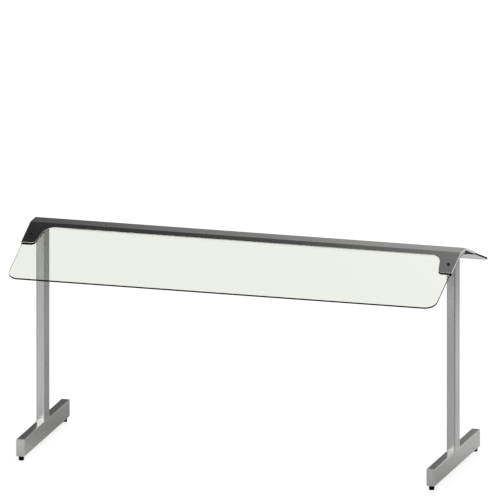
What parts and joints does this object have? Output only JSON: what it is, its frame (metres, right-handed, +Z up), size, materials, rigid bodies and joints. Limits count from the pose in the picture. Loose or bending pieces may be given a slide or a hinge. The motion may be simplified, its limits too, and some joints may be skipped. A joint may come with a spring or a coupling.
{
  "type": "double-sided glass food shield",
  "caption": "Free-standing counter shield: T-shaped tube legs with levelling feet carry a ridge cover that clamps a sloping glass panel on each side.",
  "frame": {"origin": "on the floor under the middle of the ridge, at the centre of the part's bottom face", "axes": "+Z up; X along the ridge; -Y is the front, and the rear is its mirror image"},
  "size_m": [1.506, 0.6862, 0.769],
  "materials": {
    "stainless_tube": "satin brushed",
    "stainless_sheet": "satin, dark toned",
    "black_plate": "matt black powder coat",
    "black_screw": "black oxide",
    "zinc_steel": "zinc plated",
    "glass": "clear toughened float glass, ground edges",
    "rubber": "black sheet rubber",
    "nylon": "natural nylon",
    "black_plastic": "black moulded plastic"
  },
  "bodies": {
    "frame": {"band_gasket_front": "rubber", "band_gasket_rear": "rubber", "beam_end_plate_left": "stainless_tube", "beam_end_plate_right": "stainless_tube", "canopy_cover": "stainless_sheet", "clamp_gasket_front_left": "rubber", "clamp_gasket_front_right": "rubber", "clamp_gasket_rear_left": "rubber", "clamp_gasket_rear_right": "rubber", "clamp_nuts": "zinc_steel", "clamp_plate_front_left": "black_plate", "clamp_plate_front_right": "black_plate", "clamp_plate_rear_left": "black_plate", "clamp_plate_rear_right": "black_plate", "clamp_screws": "black_screw", "clamp_sleeves": "nylon", "foot_end_plate_front_left": "stainless_tube", "foot_end_plate_front_right": "stainless_tube", "foot_end_plate_rear_left": "stainless_tube", "foot_end_plate_rear_right": "stainless_tube", "foot_tube_left": "stainless_tube", "foot_tube_right": "stainless_tube", "glass_panel_front": "glass", "glass_panel_rear": "glass", "level_nuts": "zinc_steel", "post_tube_left": "stainless_tube", "post_tube_right": "stainless_tube", "ridge_beam": "stainless_tube"},
    "pad_front_left": {"level_pad_front_left": "black_plastic"},
    "stud_front_left": {"level_stud_front_left": "zinc_steel"},
    "pad_front_right": {"level_pad_front_right": "black_plastic"},
    "stud_front_right": {"level_stud_front_right": "zinc_steel"},
    "pad_rear_left": {"level_pad_rear_left": "black_plastic"},
    "stud_rear_left": {"level_stud_rear_left": "zinc_steel"},
    "pad_rear_right": {"level_pad_rear_right": "black_plastic"},
    "stud_rear_right": {"level_stud_rear_right": "zinc_steel"}
  },
  "joints": [
    {"name": "level_travel_front_left", "type": "slide", "parent": "frame", "child": "pad_front_left", "axis": [0, 0, -1], "range_m": [0, 0.01]},
    {"name": "level_turn_front_left", "type": "hinge", "parent": "pad_front_left", "child": "stud_front_left", "pos_m": [-0.718, -0.2655, 0.02], "axis": [0, 0, -1], "range_deg": [0, 2880]},
    {"name": "level_travel_front_right", "type": "slide", "parent": "frame", "child": "pad_front_right", "axis": [0, 0, -1], "range_m": [0, 0.01]},
    {"name": "level_turn_front_right", "type": "hinge", "parent": "pad_front_right", "child": "stud_front_right", "pos_m": [0.718, -0.2655, 0.02], "axis": [0, 0, -1], "range_deg": [0, 2880]},
    {"name": "level_travel_rear_left", "type": "slide", "parent": "frame", "child": "pad_rear_left", "axis": [0, 0, -1], "range_m": [0, 0.01]},
    {"name": "level_turn_rear_left", "type": "hinge", "parent": "pad_rear_left", "child": "stud_rear_left", "pos_m": [-0.718, 0.2655, 0.02], "axis": [0, 0, -1], "range_deg": [0, 2880]},
    {"name": "level_travel_rear_right", "type": "slide", "parent": "frame", "child": "pad_rear_right", "axis": [0, 0, -1], "range_m": [0, 0.01]},
    {"name": "level_turn_rear_right", "type": "hinge", "parent": "pad_rear_right", "child": "stud_rear_right", "pos_m": [0.718, 0.2655, 0.02], "axis": [0, 0, -1], "range_deg": [0, 2880]}
  ],
  "couplings": [
    {"joint": "level_turn_front_left", "follows": "level_travel_front_left", "rad_per_m": 5026.5},
    {"joint": "level_turn_front_right", "follows": "level_travel_front_right", "rad_per_m": 5026.5},
    {"joint": "level_turn_rear_left", "follows": "level_travel_rear_left", "rad_per_m": 5026.5},
    {"joint": "level_turn_rear_right", "follows": "level_travel_rear_right", "rad_per_m": 5026.5}
  ]
}
